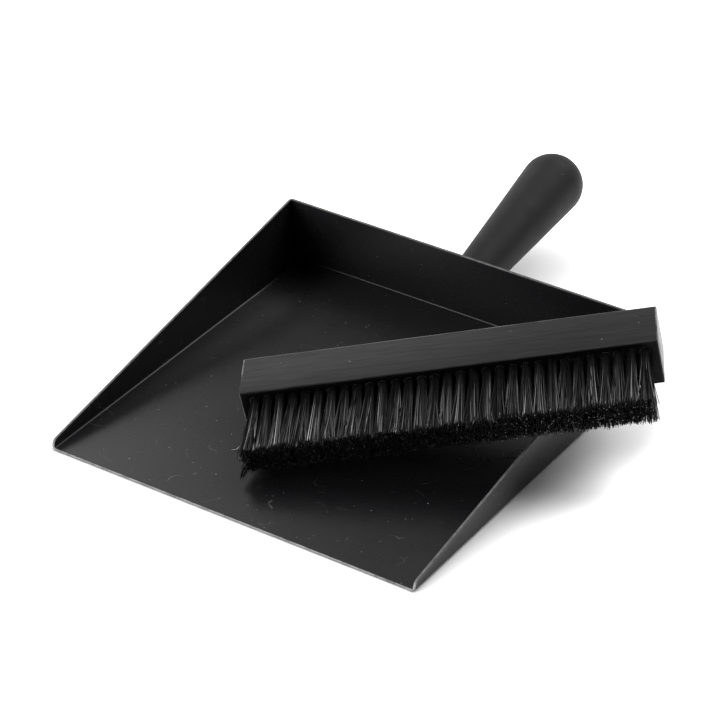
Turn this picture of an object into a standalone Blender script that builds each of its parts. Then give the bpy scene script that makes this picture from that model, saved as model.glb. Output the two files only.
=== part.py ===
"""Dustpan with a turned handle, and its hand brush lying in the pan.

Metres, +Z up, +Y towards the handle. The origin is the centre of the pan floor's underside.
"""

from math import asin, atan2, cos, hypot, pi, radians, sin, tan

import bmesh
import bpy
from mathutils import Matrix, Vector

MM = 0.001
GAP = 0.3 * MM  # clearance kept between pieces that touch

# Pan: one folded sheet, open at the front, which is the lip
PAN_WIDTH = 235 * MM  # between the side walls
PAN_DEPTH = 242 * MM  # lip to back fold
SHEET = 1.5 * MM
BACK_HEIGHT = 48 * MM
FRONT_HEIGHT = 6 * MM  # side walls at the lip
FRONT_CORNER = 3.4 * MM  # rounding of the side walls' front corners, along each edge
BACK_LEAN = radians(12.2)  # the back wall leans forward over the floor
FOLD = 1.2 * MM  # inner bend radius

# Handle: turned, square to the back wall
HANDLE_Z = 23 * MM  # height at which its axis leaves the wall
HANDLE_LENGTH = 101.5 * MM  # wall to the centre of the round end
HANDLE_NECK_RADIUS = 11.9 * MM
HANDLE_END_RADIUS = 19 * MM
NECK_CHAMFER = 0.8 * MM
END_STEPS = 10
TURNED_STEPS = 32

# Fixing inside the handle: a stud welded to the wall, in a threaded sleeve
STUD_RADIUS = 3 * MM
STUD_LENGTH = 24 * MM
STUD_FLANGE_RADIUS = 5.5 * MM
STUD_FLANGE = 1.2 * MM
STUD_CHAMFER = 0.6 * MM
INSERT_BORE_RADIUS = STUD_RADIUS + GAP
INSERT_RADIUS = 4.6 * MM
INSERT_LENGTH = 22 * MM
INSERT_BEAD_RADIUS = 5 * MM
INSERT_BEAD = 2 * MM
HANDLE_BORE_DEPTH = 28 * MM
SMALL_TURNED_STEPS = 20

# Brush block, and the tufts in it: columns along its length, rows across its bristle face
BLOCK_LENGTH = 232 * MM
BLOCK_WIDTH = 29 * MM
BLOCK_THICKNESS = 32.5 * MM
BLOCK_EDGE = 1.0 * MM
COLUMNS = 31
COLUMN_PITCH = 7.2 * MM
ROWS = 3
ROW_PITCH = 5.5 * MM
FIRST_ROW_INSET = 6.4 * MM  # from the marked side face
TUFT_SIDES = 8
HOLE_RADIUS = 2.6 * MM
HOLE_DEPTH = 13 * MM
TUFT_ROOT_RADIUS = 2.25 * MM
TUFT_TIP_RADIUS = 3.4 * MM
TUFT_LENGTH = 48 * MM  # out of the block
TUFT_COLLAR = 1.5 * MM  # straight stretch above the hole

# Where the brush lies: on its side, low end on the floor, leaning on the right wall's rim
BRUSH_YAW = radians(29.7)
BRUSH_PITCH = radians(11.05)
BRUSH_ROLL = radians(-86.75)
BRUSH_X = 62.5 * MM
BRUSH_Y = 2.65 * MM
BRUSH_Z = 38.1 * MM


def clear_scene():
    for item in list(bpy.data.objects):
        bpy.data.objects.remove(item, do_unlink=True)


def new_collection(name):
    collection = bpy.data.collections.new(name)
    bpy.context.scene.collection.children.link(collection)
    return collection


def new_material(name, color, roughness, metallic=0.0):
    material = bpy.data.materials.new(name)
    material.use_nodes = True
    shader = material.node_tree.nodes["Principled BSDF"]
    shader.inputs["Base Color"].default_value = (*color, 1.0)
    shader.inputs["Roughness"].default_value = roughness
    shader.inputs["Metallic"].default_value = metallic
    return material


def add_object(name, mesh, collection, material=None):
    item = bpy.data.objects.new(name, mesh)
    collection.objects.link(item)
    if material and not mesh.materials:
        mesh.materials.append(material)
    return item


def add_helper(name, mesh):
    helper = add_object(name, mesh, cutters)
    helper.hide_render = True
    helper.display_type = "WIRE"
    return helper


def box_mesh(low, high):
    """A box as a bmesh, between two corners."""
    low, high = Vector(low), Vector(high)
    bm = bmesh.new()
    bmesh.ops.create_cube(bm, size=1.0)
    bmesh.ops.scale(bm, vec=high - low, verts=bm.verts)
    bmesh.ops.translate(bm, vec=(low + high) / 2, verts=bm.verts)
    return bm


def finish_mesh(bm, name):
    mesh = bpy.data.meshes.new(name)
    bm.to_mesh(mesh)
    bm.free()
    return mesh


def add_turned(name, profile, steps, collection, material=None, phase=0.0):
    """A solid of revolution about local Z, from (radius, height) points down its outer side."""
    bm = bmesh.new()
    turn = Matrix.Rotation(phase, 3, "Z")
    verts = [bm.verts.new(turn @ Vector((radius, 0, height))) for radius, height in profile]
    for first, second in zip(verts, verts[1:]):
        bm.edges.new((first, second))
    turned = add_object(name, finish_mesh(bm, name), collection, material)
    screw = turned.modifiers.new("turn", "SCREW")
    screw.axis = "Z"
    screw.angle = 2 * pi
    screw.steps = steps
    screw.render_steps = steps
    screw.use_merge_vertices = True
    screw.merge_threshold = 0.01 * MM
    return turned


def evaluated_mesh(item, name):
    bpy.context.view_layer.update()
    mesh = bpy.data.meshes.new_from_object(item.evaluated_get(bpy.context.evaluated_depsgraph_get()))
    mesh.name = name
    return mesh


def make_pan_tray():
    """The inner faces of a box without its front and top, thickened outwards."""
    front, back = -PAN_DEPTH / 2, PAN_DEPTH / 2
    box_top = 2 * BACK_HEIGHT
    bm = box_mesh((-PAN_WIDTH / 2, front, SHEET), (PAN_WIDTH / 2, back, box_top))
    openings = [f for f in bm.faces if f.normal.z > 0.9 or f.normal.y < -0.9]
    bmesh.ops.delete(bm, geom=openings, context="FACES")
    for vert in bm.verts:
        if vert.co.y > 0 and vert.co.z > SHEET + GAP:
            vert.co.y -= (vert.co.z - SHEET) * tan(BACK_LEAN)

    # One sloping cut gives the side walls' rims and the level rim of the back wall
    back_rim_y = back - (BACK_HEIGHT - SHEET) * tan(BACK_LEAN)
    slope = (BACK_HEIGHT - FRONT_HEIGHT) / (back_rim_y - front)
    bmesh.ops.bisect_plane(
        bm,
        geom=bm.verts[:] + bm.edges[:] + bm.faces[:],
        plane_co=(0, front, FRONT_HEIGHT),
        plane_no=(0, -slope, 1),
        clear_outer=True,
    )
    corners = [v for v in bm.verts if v.co.y < front + GAP and v.co.z > SHEET + GAP]
    bmesh.ops.bevel(
        bm, geom=corners, offset=FRONT_CORNER, segments=4, profile=0.5, affect="VERTICES"
    )
    folds = [e for e in bm.edges if len(e.link_faces) == 2]
    bmesh.ops.bevel(bm, geom=folds, offset=FOLD, segments=3, profile=0.5, affect="EDGES")

    tray = add_object("pan_tray", finish_mesh(bm, "pan_tray"), parts, coat)
    shell = tray.modifiers.new("sheet", "SOLIDIFY")
    shell.thickness = SHEET
    shell.offset = 1.0
    shell.use_even_offset = True
    return tray


def make_handle_frame():
    """An empty on the back wall's outer face, local Z along the handle."""
    wall_y = PAN_DEPTH / 2 - (HANDLE_Z - SHEET) * tan(BACK_LEAN) + SHEET / cos(BACK_LEAN)
    frame = bpy.data.objects.new("handle_axis", None)
    parts.objects.link(frame)
    frame.location = (0, wall_y, HANDLE_Z)
    frame.rotation_euler = (BACK_LEAN - pi / 2, 0, 0)
    return frame


def handle_profile():
    """Round end, tangent cone, neck face, then up the stepped bore to its blind end."""
    neck, end, length = HANDLE_NECK_RADIUS, HANDLE_END_RADIUS, HANDLE_LENGTH - GAP
    taper = asin(end / hypot(neck, length)) - atan2(neck, length)
    sweep = pi / 2 + taper
    profile = []
    for step in range(END_STEPS + 1):
        angle = sweep * step / END_STEPS
        profile.append((end * sin(angle), length + end * cos(angle)))
    flange_bore = STUD_FLANGE_RADIUS + 2 * GAP
    insert_bore = INSERT_BEAD_RADIUS + GAP
    flange_depth = STUD_FLANGE + 2 * GAP
    profile += [
        (neck + NECK_CHAMFER * tan(taper), NECK_CHAMFER),
        (neck - NECK_CHAMFER, 0),
        (flange_bore, 0),
        (flange_bore, flange_depth),
        (insert_bore, flange_depth),
        (insert_bore, HANDLE_BORE_DEPTH),
        (0, HANDLE_BORE_DEPTH),
    ]
    return profile


def make_handle(frame):
    handle = add_turned("pan_handle", handle_profile(), TURNED_STEPS, parts, handle_paint)
    handle.parent = frame
    handle.location.z = GAP
    return handle


def make_handle_stud(frame):
    """Flange against the wall, then a chamfered shank."""
    top = STUD_FLANGE + STUD_LENGTH
    profile = [
        (0, top),
        (STUD_RADIUS - STUD_CHAMFER, top),
        (STUD_RADIUS, top - STUD_CHAMFER),
        (STUD_RADIUS, STUD_FLANGE),
        (STUD_FLANGE_RADIUS, STUD_FLANGE),
        (STUD_FLANGE_RADIUS, 0),
        (0, 0),
    ]
    stud = add_turned("handle_stud", profile, SMALL_TURNED_STEPS, parts, steel)
    stud.parent = frame
    stud.location.z = GAP
    return stud


def make_handle_insert(frame):
    """A sleeve with a bead at each end, open right through."""
    bore = INSERT_BORE_RADIUS
    profile = [
        (bore, INSERT_LENGTH),
        (INSERT_BEAD_RADIUS, INSERT_LENGTH),
        (INSERT_BEAD_RADIUS, INSERT_LENGTH - INSERT_BEAD),
        (INSERT_RADIUS, INSERT_LENGTH - INSERT_BEAD),
        (INSERT_RADIUS, INSERT_BEAD),
        (INSERT_BEAD_RADIUS, INSERT_BEAD),
        (INSERT_BEAD_RADIUS, 0),
        (bore, 0),
        (bore, INSERT_LENGTH),
    ]
    insert = add_turned("handle_insert", profile, SMALL_TURNED_STEPS, parts, brass)
    insert.parent = frame
    insert.location.z = STUD_FLANGE + 3 * GAP
    return insert


def make_brush_frame():
    """An empty at the centre of the bristle face.

    Local X is along the block, local -Z is the way the bristles point, and local -Y is the marked side,
    which faces up as the brush lies.
    """
    frame = bpy.data.objects.new("brush_pose", None)
    parts.objects.link(frame)
    frame.location = (BRUSH_X, BRUSH_Y, BRUSH_Z)
    frame.rotation_euler = (BRUSH_ROLL, -BRUSH_PITCH, BRUSH_YAW)
    return frame


def column_x(column):
    return (column - (COLUMNS - 1) / 2) * COLUMN_PITCH


def row_y(row):
    return -BLOCK_WIDTH / 2 + FIRST_ROW_INSET + row * ROW_PITCH


def make_hole_cutter(frame):
    """All the tuft holes' drills as one mesh."""
    bm = bmesh.new()
    for column in range(COLUMNS):
        for row in range(ROWS):
            place = Matrix.Translation((column_x(column), row_y(row), 0))
            facing = Matrix.Rotation(pi / TUFT_SIDES, 4, "Z")
            bmesh.ops.create_cone(
                bm,
                cap_ends=True,
                segments=TUFT_SIDES,
                radius1=HOLE_RADIUS,
                radius2=HOLE_RADIUS,
                depth=2 * HOLE_DEPTH,
                matrix=place @ facing,
            )
    cutter = add_helper("hole_drills", finish_mesh(bm, "hole_drills"))
    cutter.parent = frame
    return cutter


def make_brush_block(frame):
    half = Vector((BLOCK_LENGTH / 2, BLOCK_WIDTH / 2, 0))
    bm = box_mesh(-half, half + Vector((0, 0, BLOCK_THICKNESS)))
    block = add_object("brush_block", finish_mesh(bm, "brush_block"), parts, stained_wood)
    block.parent = frame
    edges = block.modifiers.new("edges", "BEVEL")
    edges.width = BLOCK_EDGE
    edges.segments = 2
    holes = block.modifiers.new("holes", "BOOLEAN")
    holes.operation = "DIFFERENCE"
    holes.object = make_hole_cutter(frame)
    return block


def make_tuft_mesh():
    """One cross row of tufts: round bundles that flare towards the tips and merge there."""
    profile = [
        (0, HOLE_DEPTH - GAP),
        (TUFT_ROOT_RADIUS, HOLE_DEPTH - GAP),
        (TUFT_ROOT_RADIUS, -TUFT_COLLAR),
        (TUFT_TIP_RADIUS, -TUFT_LENGTH),
        (0, -TUFT_LENGTH),
    ]
    pattern = add_turned("tuft_pattern", profile, TUFT_SIDES, cutters, phase=pi / TUFT_SIDES)
    single = evaluated_mesh(pattern, "tuft_single")
    bpy.data.objects.remove(pattern)
    bundles = [add_helper(f"tuft_bundle_{row + 1}", single.copy()) for row in range(ROWS)]
    for row, bundle in enumerate(bundles):
        bundle.data.transform(Matrix.Translation((0, row_y(row), 0)))
    for other in bundles[1:]:
        union = bundles[0].modifiers.new(other.name, "BOOLEAN")
        union.operation = "UNION"
        union.object = other
    mesh = evaluated_mesh(bundles[0], "tuft_row")
    for bundle in bundles:
        bpy.data.objects.remove(bundle)
    mesh.materials.clear()
    mesh.materials.append(bristle)
    return mesh


def make_tufts(frame):
    mesh = make_tuft_mesh()
    for column in range(COLUMNS):
        tuft = add_object(f"tuft_row_{column + 1:02d}", mesh, parts)
        tuft.parent = frame
        tuft.location.x = column_x(column)


def shade_round_pieces():
    for item in parts.objects:
        if item.type == "MESH":
            item.data.shade_smooth()
            item.data.set_sharp_from_angle(angle=radians(35))


clear_scene()
parts = new_collection("dustpan_and_brush")
cutters = new_collection("cutters")

coat = new_material("pan_coat", (0.012, 0.012, 0.013), 0.3)
handle_paint = new_material("handle_paint", (0.012, 0.012, 0.012), 0.5)
steel = new_material("stud_steel", (0.6, 0.6, 0.62), 0.35, 1.0)
brass = new_material("insert_brass", (0.75, 0.55, 0.25), 0.35, 1.0)
stained_wood = new_material("block_wood", (0.012, 0.012, 0.013), 0.5)
bristle = new_material("bristle", (0.006, 0.006, 0.006), 0.4)

make_pan_tray()
handle_frame = make_handle_frame()
make_handle(handle_frame)
make_handle_stud(handle_frame)
make_handle_insert(handle_frame)
brush_frame = make_brush_frame()
make_brush_block(brush_frame)
make_tufts(brush_frame)
shade_round_pieces()
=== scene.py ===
"""Looks of the dustpan and its hand brush: fine meshes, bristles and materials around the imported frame.

Metres, in the frame's own axes: +Z up, +Y towards the handle, origin under the centre of the pan floor.
"""

from math import asin, atan2, cos, hypot, pi, radians, sin, tan
from random import Random

import bmesh
import bpy
import numpy as np
from mathutils import Euler, Matrix, Vector


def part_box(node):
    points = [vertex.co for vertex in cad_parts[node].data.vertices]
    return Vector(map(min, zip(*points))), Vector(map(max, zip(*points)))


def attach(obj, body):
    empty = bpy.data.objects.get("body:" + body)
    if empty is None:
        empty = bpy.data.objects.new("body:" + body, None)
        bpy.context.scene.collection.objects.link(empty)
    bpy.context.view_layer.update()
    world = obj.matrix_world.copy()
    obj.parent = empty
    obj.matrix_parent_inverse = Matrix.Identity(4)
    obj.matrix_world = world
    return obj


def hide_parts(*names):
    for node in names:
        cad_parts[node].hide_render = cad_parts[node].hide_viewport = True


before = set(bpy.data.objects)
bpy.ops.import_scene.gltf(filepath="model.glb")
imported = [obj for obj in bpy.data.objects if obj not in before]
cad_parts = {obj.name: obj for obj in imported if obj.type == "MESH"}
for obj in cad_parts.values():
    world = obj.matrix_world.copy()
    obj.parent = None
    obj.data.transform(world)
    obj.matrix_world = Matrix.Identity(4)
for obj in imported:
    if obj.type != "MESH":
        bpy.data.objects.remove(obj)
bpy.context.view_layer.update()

MM = 0.001

# The tray's sheet. Its box in the frame gives the width and the depth
TRAY_LOW, TRAY_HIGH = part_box("pan_tray")
SHEET = 1.5 * MM
PAN_WIDTH = TRAY_HIGH.x - TRAY_LOW.x - 2 * SHEET
PAN_DEPTH = -2 * TRAY_LOW.y
LIP_Y = -PAN_DEPTH / 2
BACK_HEIGHT = 48 * MM
BACK_LEAN = radians(12.2)
FRONT_HEIGHT = 6 * MM
FRONT_CORNER = 3.4 * MM
FRONT_CORNER_STEPS = 10
FOLD = 1.2 * MM
FOLD_STEPS = 6
CUT_EDGE = 0.35 * MM  # rounding of the sheet's cut edges

# Handle, square to the back wall
HANDLE_Z = 23 * MM
HANDLE_LENGTH = 101.5 * MM
HANDLE_GAP = 0.3 * MM
NECK_RADIUS = 11.9 * MM
NECK_ROUND = 0.8 * MM
END_RADIUS = 19 * MM
BORE_RADIUS = 6.1 * MM
BORE_DEPTH = 28 * MM
BORE_CHAMFER = 0.3 * MM
END_STEPS, SIDE_STEPS, NECK_STEPS, TURNED_STEPS = 28, 24, 5, 96

# Brush block and the holes in its bristle face: columns along its length, rows across
BLOCK_LENGTH = 232 * MM
BLOCK_WIDTH = 29 * MM
BLOCK_THICKNESS = 32.5 * MM
BLOCK_EDGE = 0.8 * MM
COLUMNS = 31
COLUMN_PITCH = 7.2 * MM
ROWS = 3
ROW_PITCH = 5.5 * MM
FIRST_ROW_INSET = 6.4 * MM
HOLE_RADIUS = 2.6 * MM
HOLE_DEPTH = 13 * MM
HOLE_EDGE = 0.2 * MM
HOLE_SIDES = 24

# Where the brush lies. The block's own Z runs from the bristle face to its back
BRUSH_PLACE = Vector((62.5, 2.65, 38.1)) * MM
BRUSH_TURN = Euler((radians(-86.75), radians(-11.05), radians(29.7)), "XYZ")
BRUSH_MATRIX = Matrix.Translation(BRUSH_PLACE) @ BRUSH_TURN.to_matrix().to_4x4()

# Bristles
BRISTLES = 110  # in one tuft
BRISTLE_LENGTH = 48 * MM  # out of the block
BRISTLE_RADIUS = 0.19 * MM
BRISTLE_SIDES = 4
LEVELS = (0.0, 0.22, 0.55, 0.95, 1.0)  # rings along a bristle, from the hole's mouth to the tip
ROOT_DEPTH = 6 * MM  # how far the modelled bristles reach into the hole
FLARE = 1.45  # above 1, a tuft opens late
TIP_REACH = (3.7 * MM, 3.0 * MM)  # half width of a tuft at its tips, along and across the block
TIP_SCATTER = (1.25 * MM, 0.6 * MM)
CLUMPS = 9  # strands that a tuft gathers in
CLUMPING = 0.22  # share of the way to its strand that a tip moves
GOLDEN_ANGLE = 2.39996  # spreads the bristles evenly over the round hole
END_SPLAY = 0.6 * MM  # how far the brush's end rows lean outwards
EDGE_CLIP = 1.9 * MM  # how much shorter the bristles are along the brush's two long sides
LOOSE_BRISTLES = 14
FIRST_SEED = 9000

# Camera: level, with a long lens, from the front right and above
LENS = 156.5  # millimetres, on a sensor 36 wide
SENSOR = 36
CAMERA_AZIMUTH = radians(33.42)
CAMERA_ELEVATION = radians(32.85)
CAMERA_DISTANCE = 1.806
CAMERA_TARGET = Vector((-0.0271, 0.0485, 0))

# Floor with a painted glow, as an overexposed ground looks: it glows where nothing stands near it and less
# close to the objects, which paints a soft shadow around them
FLOOR_HALF = 12
FLOOR_DROP = 0.2 * MM
PAINTED_GLOW = 0.82
PAINTED_GLOW_REACH = 50 * MM
PAINTED_GLOW_FALLOFF = 5.0

# Soft panels around the object: azimuth from the front towards the right, elevation, radius, softness
# (degrees), and strength
PANELS = (
    (-28, 15, 14, 16, 5.6),
    (180, 30, 9, 12, 2.5),
    (-120, 30, 9, 12, 2.0),
    (-135, 14, 14, 12, 1.0),
    (-90, 45, 10, 16, 1.2),
    (112, 7, 12, 14, 0.85),
    (135, 46, 10, 16, 2.2),
    (165, 66, 16, 16, 3.0),
)


# ---------------------------------------------------------------- node helpers

class Nodes:
    """A short way to write a node tree."""

    def __init__(self, tree):
        self.tree = tree

    def add(self, kind, inputs=None, **settings):
        node = self.tree.nodes.new(kind)
        for key, value in settings.items():
            setattr(node, key, value)
        for key, value in (inputs or {}).items():
            self.put(node.inputs[key], value)
        return node

    def put(self, socket, value):
        """Gives a socket a value, or links another socket to it."""
        if isinstance(value, bpy.types.NodeSocket):
            self.tree.links.new(value, socket)
        else:
            socket.default_value = value

    def remap(self, value, low, high, to_low, to_high, smooth=False):
        values = {
            "Value": value,
            "From Min": low,
            "From Max": high,
            "To Min": to_low,
            "To Max": to_high,
        }
        kind = "SMOOTHSTEP" if smooth else "LINEAR"
        return self.add("ShaderNodeMapRange", values, interpolation_type=kind).outputs["Result"]

    def math(self, operation, first, second=0.0):
        return self.add("ShaderNodeMath", {0: first, 1: second}, operation=operation).outputs[0]

    def separate(self, vector):
        return self.add("ShaderNodeSeparateXYZ", {"Vector": vector}).outputs


class Surface(Nodes):
    """A new material's node tree, with its Principled shader and the piece's own coordinates."""

    def __init__(self, name):
        self.material = bpy.data.materials.new(name)
        self.material.use_nodes = True
        super().__init__(self.material.node_tree)
        self.shader = self.tree.nodes["Principled BSDF"]
        self.position = self.add("ShaderNodeTexCoord").outputs["Object"]

    def set(self, **values):
        """Sets the shader's sockets, with _ for each space in a name."""
        for key, value in values.items():
            self.put(self.shader.inputs[key.replace("_", " ")], value)

    def stretched(self, scale):
        return self.add("ShaderNodeMapping", {"Vector": self.position, "Scale": scale}).outputs["Vector"]

    def noise(self, scale, detail=2.0, roughness=0.5, distortion=0.0, position=None):
        values = {
            "Vector": position or self.position,
            "Scale": scale,
            "Detail": detail,
            "Roughness": roughness,
            "Distortion": distortion,
        }
        return self.add("ShaderNodeTexNoise", values).outputs["Fac"]

    def mix(self, share, first, second):
        """A colour between two, each a colour or a socket."""
        node = self.add("ShaderNodeMix", data_type="RGBA")
        self.put(node.inputs[0], share)
        self.put(node.inputs[6], first)
        self.put(node.inputs[7], second)
        return node.outputs[2]

    def bump(self, height, distance, strength, normal=None):
        values = {"Height": height, "Distance": distance, "Strength": strength}
        if normal is not None:
            values["Normal"] = normal
        return self.add("ShaderNodeBump", values).outputs["Normal"]

    def dust(self, scale, size, amount):
        """1 inside sparse small specks: some cells of a voronoi pattern, each with a dot in it."""
        cells = self.add("ShaderNodeTexVoronoi", {"Vector": self.position, "Scale": scale}).outputs
        dot = self.remap(cells["Distance"], size * 0.6, size, 1.0, 0.0)
        red = self.add("ShaderNodeSeparateColor", {"Color": cells["Color"]}).outputs[0]
        return self.math("MULTIPLY", dot, self.math("GREATER_THAN", red, 1.0 - amount))


def grey(value):
    return (value, value, value, 1.0)


def cool(value):
    """A near-black with a trace of blue, as dyes and coatings have."""
    return (value, value, value * 1.12, 1.0)


# ------------------------------------------------------------------- materials

def hair_scratches(n, depth):
    """1 along short curved hair lines in a few patches, mostly near the lip."""
    contour = n.math("ABSOLUTE", n.math("SUBTRACT", n.noise(52.0, 0.0, 0.5, 0.8), 0.5))
    line = n.remap(contour, 0.0018, 0.0050, 1.0, 0.0)
    patches = n.remap(n.noise(75.0, 0.0), 0.64, 0.67, 0.0, 1.0)
    frontness = n.remap(depth, 0.09, -0.09, 0.15, 1.0)
    return n.math("MULTIPLY", n.math("MULTIPLY", line, patches), frontness)


def cut_edges(n, depth, height):
    """1 on the sheet's cut edges: the walls' top edges, and the front face of the lip."""
    rim = n.add("ShaderNodeAttribute", attribute_name="rim").outputs["Fac"]
    on_rim = n.math("GREATER_THAN", rim, 0.9995)
    lip_face = n.remap(depth, LIP_Y + 0.02 * MM, LIP_Y + 0.07 * MM, 1.0, 0.0)
    above = n.remap(height, SHEET + 0.2 * MM, SHEET + 0.4 * MM, 0.0, 1.0)
    return n.math("MULTIPLY", on_rim, n.math("MAXIMUM", lip_face, above))


def powder_coat():
    """Black satin powder coat: fine pebbles, faint cloudiness, dust, hair scratches, and cut edges
    lightened as wear and as a painted highlight.
    """
    n = Surface("pan_coat")
    axes = n.separate(n.position)
    depth, height = axes["Y"], axes["Z"]
    cloud = n.remap(n.noise(9.0, 3.0), 0.3, 0.7, 0.0, 1.0)
    orange_peel = n.bump(n.noise(420.0), 0.00006, 0.5)
    pebble = n.bump(n.noise(1900.0, 2.0, 0.6), 0.00003, 0.5, orange_peel)
    scratch = n.math("MULTIPLY", hair_scratches(n, depth), 0.7)
    settled = n.remap(height, SHEET, SHEET + 2 * MM, 1.0, 0.3)
    speck = n.math("MAXIMUM", n.dust(120.0, 0.045, 0.45), n.dust(310.0, 0.08, 0.2))
    # The cut edges are lightened as wear and as a painted highlight, lightest at the lip near the front
    lip = n.remap(depth, LIP_Y, LIP_Y + 2 * FRONT_CORNER, 1.0, 0.0)
    rub = n.remap(n.noise(220.0, 4.0, 0.6), 0.35, 0.6, 0.45, 1.0)
    worn_and_highlight = n.math("MULTIPLY", cut_edges(n, depth, height), rub)
    coat = n.mix(cloud, cool(0.0075), cool(0.0095))
    coat = n.mix(scratch, coat, grey(0.12))
    coat = n.mix(n.math("MULTIPLY", speck, settled), coat, grey(0.42))
    n.set(
        Base_Color=n.mix(worn_and_highlight, coat, n.mix(lip, grey(0.13), grey(0.30))),
        Roughness=n.remap(n.noise(60.0, 4.0), 0.3, 0.7, 0.26, 0.30),
        IOR=1.37,
        Normal=pebble,
    )
    return n.material


def matt_paint():
    """Soft matt black on the turned handle, with a fine tooth and a few specks."""
    n = Surface("handle_paint")
    cloud = n.remap(n.noise(25.0, 3.0), 0.3, 0.7, 0.0, 1.0)
    n.set(
        Base_Color=n.mix(n.dust(160.0, 0.04, 0.5), n.mix(cloud, grey(0.011), grey(0.0135)), grey(0.25)),
        Roughness=n.remap(n.noise(90.0, 3.0), 0.3, 0.7, 0.54, 0.62),
        IOR=1.28,
        Normal=n.bump(n.noise(2600.0), 0.00003, 0.5),
    )
    return n.material


def box_edge_distance(n, x, y, z):
    """How far a point on the block's surface is from the nearest edge of the block."""
    to_end = n.math("SUBTRACT", BLOCK_LENGTH / 2, n.math("ABSOLUTE", x))
    to_side = n.math("SUBTRACT", BLOCK_WIDTH / 2, n.math("ABSOLUTE", y))
    to_top = n.math("MINIMUM", z, n.math("SUBTRACT", BLOCK_THICKNESS, z))
    nearer = n.math("MINIMUM", to_end, to_side)
    farther = n.math("MAXIMUM", to_end, to_side)
    return n.math("MAXIMUM", nearer, n.math("MINIMUM", farther, to_top))


def rubbed_and_highlit_edges(n, wood, x, y, z):
    """The stain rubbed off the edges, more at the back and at the left end than beside the bristles. The
    lighter back edges and left end are also a painted highlight.
    """
    streaks = n.noise(1.0, 4.0, 0.6, 0.0, n.stretched((60.0, 400.0, 400.0)))
    rub = n.remap(streaks, 0.35, 0.60, 0.4, 1.0)
    edge = n.remap(box_edge_distance(n, x, y, z), 0.35 * MM, 1.15 * MM, 1.0, 0.0, smooth=True)
    # Painted highlight: the upper, back edges are far lighter than the lower ones
    highlit_upper = n.remap(z, 0.4 * BLOCK_THICKNESS, 0.6 * BLOCK_THICKNESS, 0.0, 1.0)
    wood = n.mix(n.math("MULTIPLY", edge, rub), wood, n.mix(highlit_upper, grey(0.03), grey(0.26)))
    # The edge at the left end of the bristle face: worn, and lighter as a painted highlight
    knocked_and_highlit = n.math("MAXIMUM", n.math("ADD", x, BLOCK_LENGTH / 2), z)
    knocked_and_highlit = n.remap(knocked_and_highlit, 0.3 * MM, 0.7 * MM, 0.8, 0.0)
    return n.mix(n.math("MULTIPLY", knocked_and_highlit, rub), wood, grey(0.22))


def hole_distance(n, x, y):
    """How far a point on the bristle face is from the centre of the nearest hole of the first row."""
    across = n.math("SUBTRACT", y, -BLOCK_WIDTH / 2 + FIRST_ROW_INSET)
    half = COLUMN_PITCH / 2
    along = n.add("ShaderNodeMath", {0: x, 1: -half, 2: half}, operation="WRAP").outputs[0]
    squares = n.math("ADD", n.math("MULTIPLY", along, along), n.math("MULTIPLY", across, across))
    return n.math("SQRT", squares)


def painted_hole_rim_light(n, x, y, bristle_face):
    """1 on patches of the rims of the first row's holes: a painted highlight."""
    rim_highlight_mask = n.remap(hole_distance(n, x, y), HOLE_RADIUS + 0.10 * MM, HOLE_RADIUS + 0.35 * MM, 1.0, 0.0)
    rim_patches = n.remap(n.noise(260.0), 0.42, 0.60, 0.0, 1.0)
    rim_highlight_mask = n.math("MULTIPLY", n.math("MULTIPLY", rim_highlight_mask, rim_patches), bristle_face)
    last_hole = COLUMNS * COLUMN_PITCH / 2
    return n.math("MULTIPLY", rim_highlight_mask, n.math("LESS_THAN", n.math("ABSOLUTE", x), last_hole))


def stained_wood():
    """Black-stained wood: grain and open pores run along the block, which is local X.

    Edges are rubbed and lighter as a painted highlight, the first row's hole rims carry a painted
    highlight, the bristle face is painted darker as shade, and the end grain is sealed smoother.
    """
    n = Surface("block_wood")
    axes = n.separate(n.position)
    x, y, z = axes["X"], axes["Y"], axes["Z"]
    grain = n.noise(1.0, 5.0, 0.6, 0.3, n.stretched((14.0, 420.0, 420.0)))
    fine_grain = n.noise(1.0, 3.0, 0.6, 0.2, n.stretched((36.0, 1150.0, 1150.0)))
    pores = n.noise(1.0, 2.0, 0.5, 0.0, n.stretched((45.0, 1500.0, 1500.0)))
    pore = n.remap(pores, 0.60, 0.70, 0.0, 1.0)
    bristle_face = n.remap(z, 0.15 * MM, 0.6 * MM, 1.0, 0.0)
    end = BLOCK_LENGTH / 2
    end_grain = n.remap(n.math("ABSOLUTE", x), end - 0.5 * MM, end - 0.2 * MM, 0.0, 1.0)
    wood = n.mix(n.remap(grain, 0.3, 0.7, 0.0, 1.0), cool(0.003), cool(0.0095))
    wood = n.mix(pore, wood, grey(0.002))
    # Painted shade: the bristle face under the block is darker, and less glossy through the Specular IOR
    # Level below
    wood = n.mix(bristle_face, wood, grey(0.0015))
    wood = rubbed_and_highlit_edges(n, wood, x, y, z)
    # Painted highlight on the first row's hole rims
    wood = n.mix(painted_hole_rim_light(n, x, y, bristle_face), wood, grey(0.12))
    roughness = n.remap(grain, 0.3, 0.7, 0.44, 0.56)
    sheen = n.remap(fine_grain, 0.3, 0.7, 0.72, 1.28)
    relief = n.math("SUBTRACT", n.math("ADD", n.remap(grain, 0.2, 0.8, 0.0, 0.5), fine_grain), pore)
    n.set(
        Base_Color=n.mix(n.dust(140.0, 0.05, 0.7), wood, grey(0.30)),
        Roughness=n.math("SUBTRACT", roughness, n.math("MULTIPLY", end_grain, 0.20)),
        Specular_IOR_Level=n.math("MULTIPLY", sheen, n.remap(bristle_face, 0.0, 1.0, 0.5, 0.12)),
        IOR=1.30,
        Normal=n.bump(relief, 0.00008, 0.6),
    )
    return n.material


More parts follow.
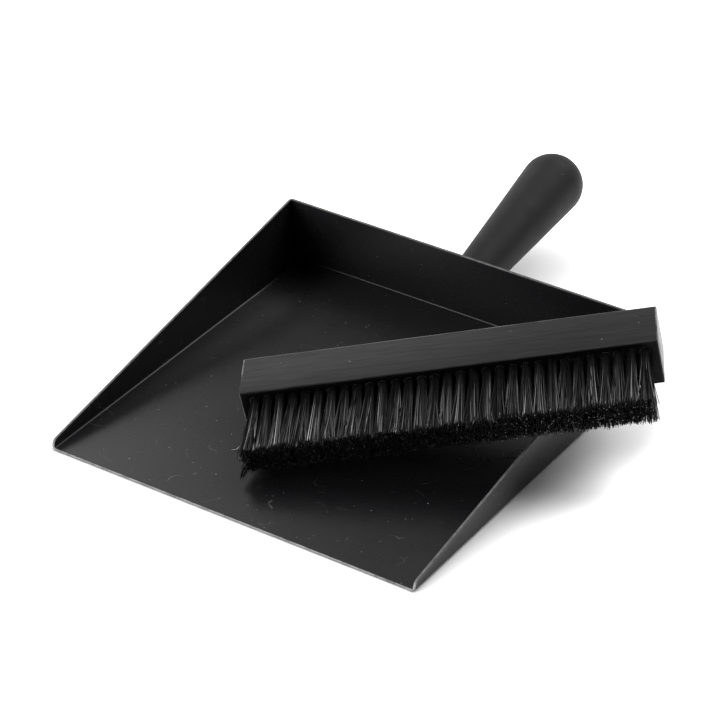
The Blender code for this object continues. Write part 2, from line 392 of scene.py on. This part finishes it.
def bristle_plastic():
    """Black synthetic bristle. Mesh attributes vary its tone and gloss from bristle to bristle."""
    n = Surface("bristle")
    tone = n.add("ShaderNodeAttribute", attribute_name="tone").outputs["Fac"]
    gloss = n.add("ShaderNodeAttribute", attribute_name="gloss").outputs["Fac"]
    streak = n.noise(1.0, 2.0, 0.5, 0.0, n.stretched((1500.0, 1500.0, 60.0)))
    shade = n.math("ADD", n.math("MULTIPLY", tone, 0.8), n.math("MULTIPLY", streak, 0.2))
    n.set(
        Base_Color=n.mix(shade, grey(0.004), grey(0.010)),
        Roughness=n.remap(streak, 0.3, 0.7, 0.32, 0.40),
        Specular_IOR_Level=n.math("MULTIPLY", gloss, 0.5),
        IOR=1.5,
    )
    return n.material


def bare_metal(name, color, roughness):
    """Turned metal, its tone and roughness in fine rings along the piece."""
    n = Surface(name)
    turned = n.noise(1.0, 2.0, 0.5, 0.0, n.stretched((200.0, 2500.0, 200.0)))
    darker = tuple(channel * 0.8 for channel in color[:3]) + (1.0,)
    n.set(
        Base_Color=n.mix(turned, darker, color),
        Metallic=1.0,
        Roughness=n.remap(turned, 0.3, 0.7, roughness * 0.8, roughness * 1.2),
    )
    return n.material


# ------------------------------------------------------------------ mesh tools

def link(name, mesh, material, smooth_angle=30):
    """Puts a mesh in the scene as an object with one material, smooth up to an angle."""
    item = bpy.data.objects.new(name, mesh)
    bpy.context.scene.collection.objects.link(item)
    mesh.materials.clear()
    mesh.materials.append(material)
    shade(mesh, smooth_angle)
    return item


def shade(mesh, smooth_angle=30):
    mesh.shade_smooth()
    mesh.set_sharp_from_angle(angle=radians(smooth_angle))


def finish_mesh(bm, name):
    mesh = bpy.data.meshes.new(name)
    bm.to_mesh(mesh)
    bm.free()
    return mesh


def apply_modifiers(item):
    """Replaces an object's mesh with its evaluated one, and drops its modifiers."""
    bpy.context.view_layer.update()
    mesh = bpy.data.meshes.new_from_object(item.evaluated_get(bpy.context.evaluated_depsgraph_get()))
    item.modifiers.clear()
    item.data = mesh


def round_edges(item, width, segments, angle=30):
    """Bevels the edges that are sharper than an angle."""
    edges = item.modifiers.new("edges", "BEVEL")
    edges.width = width
    edges.segments = segments
    edges.limit_method = "ANGLE"
    edges.angle_limit = radians(angle)
    edges.harden_normals = True
    apply_modifiers(item)


def stand_for(item, body, node):
    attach(item, body)
    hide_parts(node)


# ------------------------------------------------------------------- dustpan

def make_tray(material):
    """The folded sheet again, with rounder folds and rounded cut edges.

    Its inner surface is a box without its front and top, with the back leaning in and the walls cut along
    the slope. Its vertices on a cut edge carry 1 in the attribute rim, for the wear and the painted
    highlight.
    """
    bm = bmesh.new()
    bmesh.ops.create_cube(bm, size=1.0)
    height = 2 * BACK_HEIGHT
    bmesh.ops.scale(bm, vec=(PAN_WIDTH, PAN_DEPTH, height), verts=bm.verts)
    bmesh.ops.translate(bm, vec=(0, 0, SHEET + height / 2), verts=bm.verts)
    openings = [f for f in bm.faces if f.normal.z > 0.9 or f.normal.y < -0.9]
    bmesh.ops.delete(bm, geom=openings, context="FACES")
    for vert in bm.verts:
        if vert.co.y > 0 and vert.co.z > 2 * SHEET:
            vert.co.y -= (vert.co.z - SHEET) * tan(BACK_LEAN)
    rim_y = PAN_DEPTH / 2 - (BACK_HEIGHT - SHEET) * tan(BACK_LEAN)
    slope = (BACK_HEIGHT - FRONT_HEIGHT) / (rim_y - LIP_Y)
    bmesh.ops.bisect_plane(
        bm,
        geom=bm.verts[:] + bm.edges[:] + bm.faces[:],
        plane_co=(0, LIP_Y, FRONT_HEIGHT),
        plane_no=(0, -slope, 1),
        clear_outer=True,
    )
    corners = [v for v in bm.verts if v.co.y < LIP_Y + MM and v.co.z > 2 * SHEET]
    bmesh.ops.bevel(
        bm, geom=corners, offset=FRONT_CORNER, segments=FRONT_CORNER_STEPS, profile=0.5, affect="VERTICES"
    )
    rim = bm.verts.layers.float.new("rim")
    for edge in bm.edges:
        if edge.is_boundary:
            for vert in edge.verts:
                vert[rim] = 1.0
    folds = [e for e in bm.edges if len(e.link_faces) == 2]
    bmesh.ops.bevel(bm, geom=folds, offset=FOLD, segments=FOLD_STEPS, profile=0.5, affect="EDGES")
    tray = link("tray", finish_mesh(bm, "tray"), material)
    shell = tray.modifiers.new("sheet", "SOLIDIFY")
    shell.thickness = SHEET
    shell.offset = 1.0
    shell.use_even_offset = True
    apply_modifiers(tray)
    round_edges(tray, CUT_EDGE, 3, 50)
    shade(tray.data)
    stand_for(tray, "pan", "pan_tray")


def handle_profile():
    """The handle's outline as radius and height: round end, taper, rounded neck, and the bore."""
    length = HANDLE_LENGTH - HANDLE_GAP
    taper = asin(END_RADIUS / hypot(NECK_RADIUS, length)) - atan2(NECK_RADIUS, length)
    profile = []
    for step in range(END_STEPS + 1):
        angle = (pi / 2 + taper) * step / END_STEPS
        profile.append((END_RADIUS * sin(angle), length + END_RADIUS * cos(angle)))
    shoulder = Vector(profile[-1])
    foot = Vector((NECK_RADIUS + NECK_ROUND * tan(taper), NECK_ROUND))
    for step in range(1, SIDE_STEPS):
        profile.append(tuple(shoulder.lerp(foot, step / SIDE_STEPS)))
    for step in range(NECK_STEPS + 1):
        angle = pi / 2 * step / NECK_STEPS
        reach = NECK_RADIUS - NECK_ROUND + NECK_ROUND * cos(angle)
        profile.append((reach, NECK_ROUND - NECK_ROUND * sin(angle)))
    profile += [(BORE_RADIUS + BORE_CHAMFER, 0), (BORE_RADIUS, BORE_CHAMFER), (BORE_RADIUS, BORE_DEPTH)]
    profile.append((0, BORE_DEPTH))
    return profile


def make_handle(material):
    """Turned taper with a round end, a softly rounded neck and the blind bore for its fixing."""
    bm = bmesh.new()
    verts = [bm.verts.new((radius, 0, height)) for radius, height in handle_profile()]
    edges = [bm.edges.new(pair) for pair in zip(verts, verts[1:])]
    bmesh.ops.spin(
        bm, geom=verts + edges, axis=(0, 0, 1), cent=(0, 0, 0), angle=2 * pi, steps=TURNED_STEPS
    )
    bmesh.ops.remove_doubles(bm, verts=bm.verts, dist=0.01 * MM)
    bmesh.ops.recalc_face_normals(bm, faces=bm.faces)
    handle = link("handle", finish_mesh(bm, "handle"), material, 40)
    wall_y = PAN_DEPTH / 2 - (HANDLE_Z - SHEET) * tan(BACK_LEAN) + SHEET / cos(BACK_LEAN)
    place = Matrix.Translation((0, wall_y, HANDLE_Z)) @ Matrix.Rotation(BACK_LEAN - pi / 2, 4, "X")
    handle.matrix_world = place @ Matrix.Translation((0, 0, HANDLE_GAP))
    stand_for(handle, "pan", "pan_handle")


# --------------------------------------------------------------------- brush

def tuft_centre(column, row):
    along = (column - (COLUMNS - 1) / 2) * COLUMN_PITCH
    across = -BLOCK_WIDTH / 2 + FIRST_ROW_INSET + row * ROW_PITCH
    return along, across


def make_drills(material):
    """One object with a drill for each tuft hole."""
    drills = bmesh.new()
    for column in range(COLUMNS):
        for row in range(ROWS):
            along, across = tuft_centre(column, row)
            bmesh.ops.create_cone(
                drills,
                cap_ends=True,
                segments=HOLE_SIDES,
                radius1=HOLE_RADIUS,
                radius2=HOLE_RADIUS,
                depth=2 * HOLE_DEPTH,
                matrix=Matrix.Translation((along, across, 0)),
            )
    return link("drills", finish_mesh(drills, "drills"), material)


def make_block(material):
    """The drilled block with rounded edges, and with the rims of its holes broken a little."""
    bm = bmesh.new()
    bmesh.ops.create_cube(bm, size=1.0)
    bmesh.ops.scale(bm, vec=(BLOCK_LENGTH, BLOCK_WIDTH, BLOCK_THICKNESS), verts=bm.verts)
    bmesh.ops.translate(bm, vec=(0, 0, BLOCK_THICKNESS / 2), verts=bm.verts)
    block = link("block", finish_mesh(bm, "block"), material)
    round_edges(block, BLOCK_EDGE, 4)
    cutter = make_drills(material)
    holes = block.modifiers.new("holes", "BOOLEAN")
    holes.operation = "DIFFERENCE"
    holes.object = cutter
    apply_modifiers(block)
    bpy.data.objects.remove(cutter)
    round_edges(block, HOLE_EDGE, 2, 60)
    shade(block.data)
    block.matrix_world = BRUSH_MATRIX
    stand_for(block, "brush", "brush_block")


def bristle_path(root, tip, bow):
    """Points from inside the hole to the tip: a fan that opens out of the hole, with a slight bow."""
    points = [Vector((root.x, root.y, ROOT_DEPTH))]
    for level in LEVELS:
        point = root.lerp(tip, level ** FLARE) + bow * sin(pi * level)
        points.append(Vector((point.x, point.y, -level * tip.z)))
    return points


class Strands:
    """Collects bristles as one mesh, each point with its tone and its gloss."""

    def __init__(self):
        self.verts, self.faces, self.tones, self.glosses = [], [], [], []

    def add(self, points, radius, turn, tone, gloss, end_gloss, cut):
        """One bristle along its points. Its gloss grows towards the tip, as painted shade near the block,
        and cut slants its end.
        """
        first = len(self.verts)
        last = len(points) - 1
        for ring, point in enumerate(points):
            level = 0.0 if ring == 0 else LEVELS[ring - 1]
            # Less gloss near the hole's mouth: painted shade on the bristles near the block
            shine = end_gloss if ring == last else gloss * min(1.0, 0.03 + 2.2 * level ** 2.7)
            for side in range(BRISTLE_SIDES):
                angle = turn + 2 * pi * side / BRISTLE_SIDES
                offset = Vector((cos(angle), sin(angle), 0)) * radius
                lift = cut * cos(angle) if ring == last else 0
                self.verts.append(point + offset + Vector((0, 0, lift)))
                self.tones.append(tone)
                self.glosses.append(shine)
        self.add_faces(first, last)

    def add_faces(self, first, last):
        """The sides between the rings, and a cap at each end."""
        for ring in range(last):
            base = first + ring * BRISTLE_SIDES
            above = base + BRISTLE_SIDES
            for side in range(BRISTLE_SIDES):
                after = (side + 1) % BRISTLE_SIDES
                self.faces.append((base + side, above + side, above + after, base + after))
        end = first + last * BRISTLE_SIDES
        self.faces.append(tuple(first + side for side in range(BRISTLE_SIDES)))
        self.faces.append(tuple(end + side for side in reversed(range(BRISTLE_SIDES))))

    def mesh(self, name):
        mesh = bpy.data.meshes.new(name)
        mesh.from_pydata(self.verts, [], self.faces)
        for attribute, values in (("tone", self.tones), ("gloss", self.glosses)):
            layer = mesh.attributes.new(attribute, "FLOAT", "POINT")
            layer.data.foreach_set("value", np.array(values, np.float32))
        return mesh


def place_clumps(rng):
    """Where a tuft's strands gather at the tips, each with a tone of its own."""
    clumps = []
    for clump in range(CLUMPS):
        angle = 2 * pi * (clump + rng.random() * 0.6) / CLUMPS
        reach = rng.uniform(0.3, 1.0)
        place = Vector((cos(angle) * reach * TIP_REACH[0], sin(angle) * reach * TIP_REACH[1], 0))
        clumps.append((place, rng.random()))
    return clumps


def add_tuft(strands, rng, centre, lean):
    """One tuft: bristles packed in the hole that gather in strands and fan out to the tips."""
    clumps = place_clumps(rng)
    for index in range(BRISTLES):
        spread = ((index + 0.5) / BRISTLES) ** 0.5
        angle = index * GOLDEN_ANGLE + centre.x / COLUMN_PITCH
        way = Vector((cos(angle), sin(angle), 0)) * spread
        root = centre + way * (HOLE_RADIUS - BRISTLE_RADIUS)
        tip = Vector((way.x * TIP_REACH[0], way.y * TIP_REACH[1], 0))
        near, clump_tone = min(clumps, key=lambda clump: (clump[0] - tip).length)
        tip = tip.lerp(near, CLUMPING)
        stray = 1.8 if rng.random() < 0.04 else 1.0
        tip += Vector((rng.gauss(0, TIP_SCATTER[0]), rng.gauss(0, TIP_SCATTER[1]), 0)) * stray
        tip += centre + lean
        from_middle = abs(tip.y - tuft_centre(0, 1)[1])
        clipped = EDGE_CLIP * min(1.0, max(0.0, (from_middle - ROW_PITCH / 2) / ROW_PITCH))
        tip.z = BRISTLE_LENGTH - clipped - min(2.0, abs(rng.gauss(0, 0.3)) * stray) * MM
        bow = Vector((rng.gauss(0, 0.25), rng.gauss(0, 0.2), 0)) * MM
        tone = min(1.0, max(0.0, 0.45 * clump_tone + 0.6 * rng.random() - 0.05))
        gloss = 0.08 + 12.0 * (0.35 * clump_tone + 0.65 * rng.random()) ** 5
        end_gloss = 6.0 if rng.random() < 0.06 else 0.15
        radius = BRISTLE_RADIUS * rng.uniform(0.85, 1.12)
        points = bristle_path(root, tip, bow)
        strands.add(points, radius, rng.uniform(0, pi), tone, gloss, end_gloss, rng.gauss(0, 0.08) * MM)


def add_loose_bristles(strands, rng):
    """Bristles bent out of the tufts at the block's left end: some low down, and one high up."""
    along, across = tuft_centre(0, ROWS - 1)
    for index in range(LOOSE_BRISTLES):
        root = Vector((along - rng.uniform(0.5, 1.6) * MM, across + rng.uniform(-1.5, 1.5) * MM, 0))
        reach = rng.uniform(0.3, 1.0)
        tip = root + Vector((-6.5 * reach, 5.0 * reach + rng.uniform(-1.2, 0.6), 0)) * MM
        tip.z = BRISTLE_LENGTH - rng.uniform(-1.5, 1.0) * MM
        strands.add(bristle_path(root, tip, Vector()), BRISTLE_RADIUS * 1.3, index, 0.2, 0.3, 0.2, 0.0)
    # The one bent sideways: millimetres outwards and upwards, and how far down the bristles' length
    bends = (
        (1.5, 0.0, -ROOT_DEPTH / BRISTLE_LENGTH),
        (2.0, 0.0, 0.0),
        (3.2, 0.0, 0.45),
        (4.4, 1.6, 0.86),
        (6.0, 2.3, 0.94),
        (8.6, 2.6, 0.945),
    )
    along, across = tuft_centre(0, 0)
    path = [
        Vector((along - out * MM, across - up * MM, -down * BRISTLE_LENGTH)) for out, up, down in bends
    ]
    strands.add(path, BRISTLE_RADIUS * 1.1, 0.0, 1.0, 6.0, 6.0, 0.0)


def make_tuft_row(column, material):
    """Three neighbouring tufts across the block. The rows at the block's ends splay outwards."""
    rng = Random(FIRST_SEED + column)
    strands = Strands()
    outward = 2 * column / (COLUMNS - 1) - 1
    for row in range(ROWS):
        along, across = tuft_centre(column, row)
        lean = Vector((rng.gauss(0, 0.6), rng.gauss(0, 0.3), 0)) * MM
        lean.x += END_SPLAY * outward ** 7
        add_tuft(strands, rng, Vector((along, across, 0)), lean)
    if column == 0:
        add_loose_bristles(strands, rng)
    name = f"bristles_{column + 1:02d}"
    tuft = link(name, strands.mesh(name), material, 60)
    tuft.matrix_world = BRUSH_MATRIX
    stand_for(tuft, "brush", f"tuft_row_{column + 1:02d}")


def finish_bare_nodes():
    """The stud and the insert keep their CAD shape and get a better metal."""
    metals = {
        "handle_stud": bare_metal("stud_steel", (0.60, 0.60, 0.62, 1.0), 0.35),
        "handle_insert": bare_metal("insert_brass", (0.75, 0.55, 0.25, 1.0), 0.35),
    }
    for node, metal in metals.items():
        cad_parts[node].data.materials.clear()
        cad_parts[node].data.materials.append(metal)


# ---------------------------------------------------------------------- stage

def direction(azimuth, elevation):
    """The way to a place seen from the object, its azimuth counted from the front towards the right."""
    return (sin(azimuth) * cos(elevation), -cos(azimuth) * cos(elevation), sin(elevation))


def make_camera():
    data = bpy.data.cameras.new("camera")
    data.sensor_width = SENSOR
    data.lens = LENS
    data.clip_end = 50
    camera = bpy.data.objects.new("camera", data)
    bpy.context.scene.collection.objects.link(camera)
    back = Vector(direction(CAMERA_AZIMUTH, CAMERA_ELEVATION))
    camera.location = CAMERA_TARGET + back * CAMERA_DISTANCE
    camera.rotation_mode = "QUATERNION"
    camera.rotation_quaternion = (-back).to_track_quat("-Z", "Y")
    bpy.context.scene.camera = camera


def make_floor():
    bm = bmesh.new()
    bmesh.ops.create_grid(bm, x_segments=8, y_segments=8, size=FLOOR_HALF)
    n = Surface("floor")
    # Painted shadow: the floor's glow fades where the objects stand near it
    open_sky = n.add("ShaderNodeAmbientOcclusion", {"Distance": PAINTED_GLOW_REACH}, samples=8).outputs["AO"]
    n.set(
        Base_Color=grey(0.93),
        Roughness=0.9,
        Emission_Color=grey(1.0),
        Emission_Strength=n.math("MULTIPLY", n.math("POWER", open_sky, PAINTED_GLOW_FALLOFF), PAINTED_GLOW),
    )
    floor = link("floor", finish_mesh(bm, "floor"), n.material)
    floor.location.z = -FLOOR_DROP


def soft_panel(nodes, view, azimuth, elevation, radius, softness, strength):
    """Radiance of a round soft panel far away, full inside its radius and fading out around it."""
    centre = direction(radians(azimuth), radians(elevation))
    facing = nodes.add("ShaderNodeVectorMath", {0: view, 1: centre}, operation="DOT_PRODUCT")
    edge, full = cos(radians(radius + softness)), cos(radians(radius))
    return nodes.remap(facing.outputs["Value"], edge, full, 0.0, strength, smooth=True)


def make_light():
    """A world of soft panels. What the camera sees of it directly is plain white."""
    world = bpy.data.worlds.new("studio")
    bpy.context.scene.world = world
    world.use_nodes = True
    nodes = Nodes(world.node_tree)
    view = nodes.add("ShaderNodeTexCoord").outputs["Generated"]
    total = 0.0
    for panel in PANELS:
        total = nodes.math("ADD", soft_panel(nodes, view, *panel), total)
    seen_directly = nodes.add("ShaderNodeLightPath").outputs["Is Camera Ray"]
    background = world.node_tree.nodes["Background"]
    background.inputs["Color"].default_value = grey(1.0)
    nodes.put(background.inputs["Strength"], nodes.math("MAXIMUM", total, seen_directly))
    bpy.context.scene.view_settings.view_transform = "Standard"


# ----------------------------------------------------------------------- build

make_camera()
make_tray(powder_coat())
make_handle(matt_paint())
make_block(stained_wood())
bristle = bristle_plastic()
for number in range(COLUMNS):
    make_tuft_row(number, bristle)
finish_bare_nodes()
make_floor()
make_light()
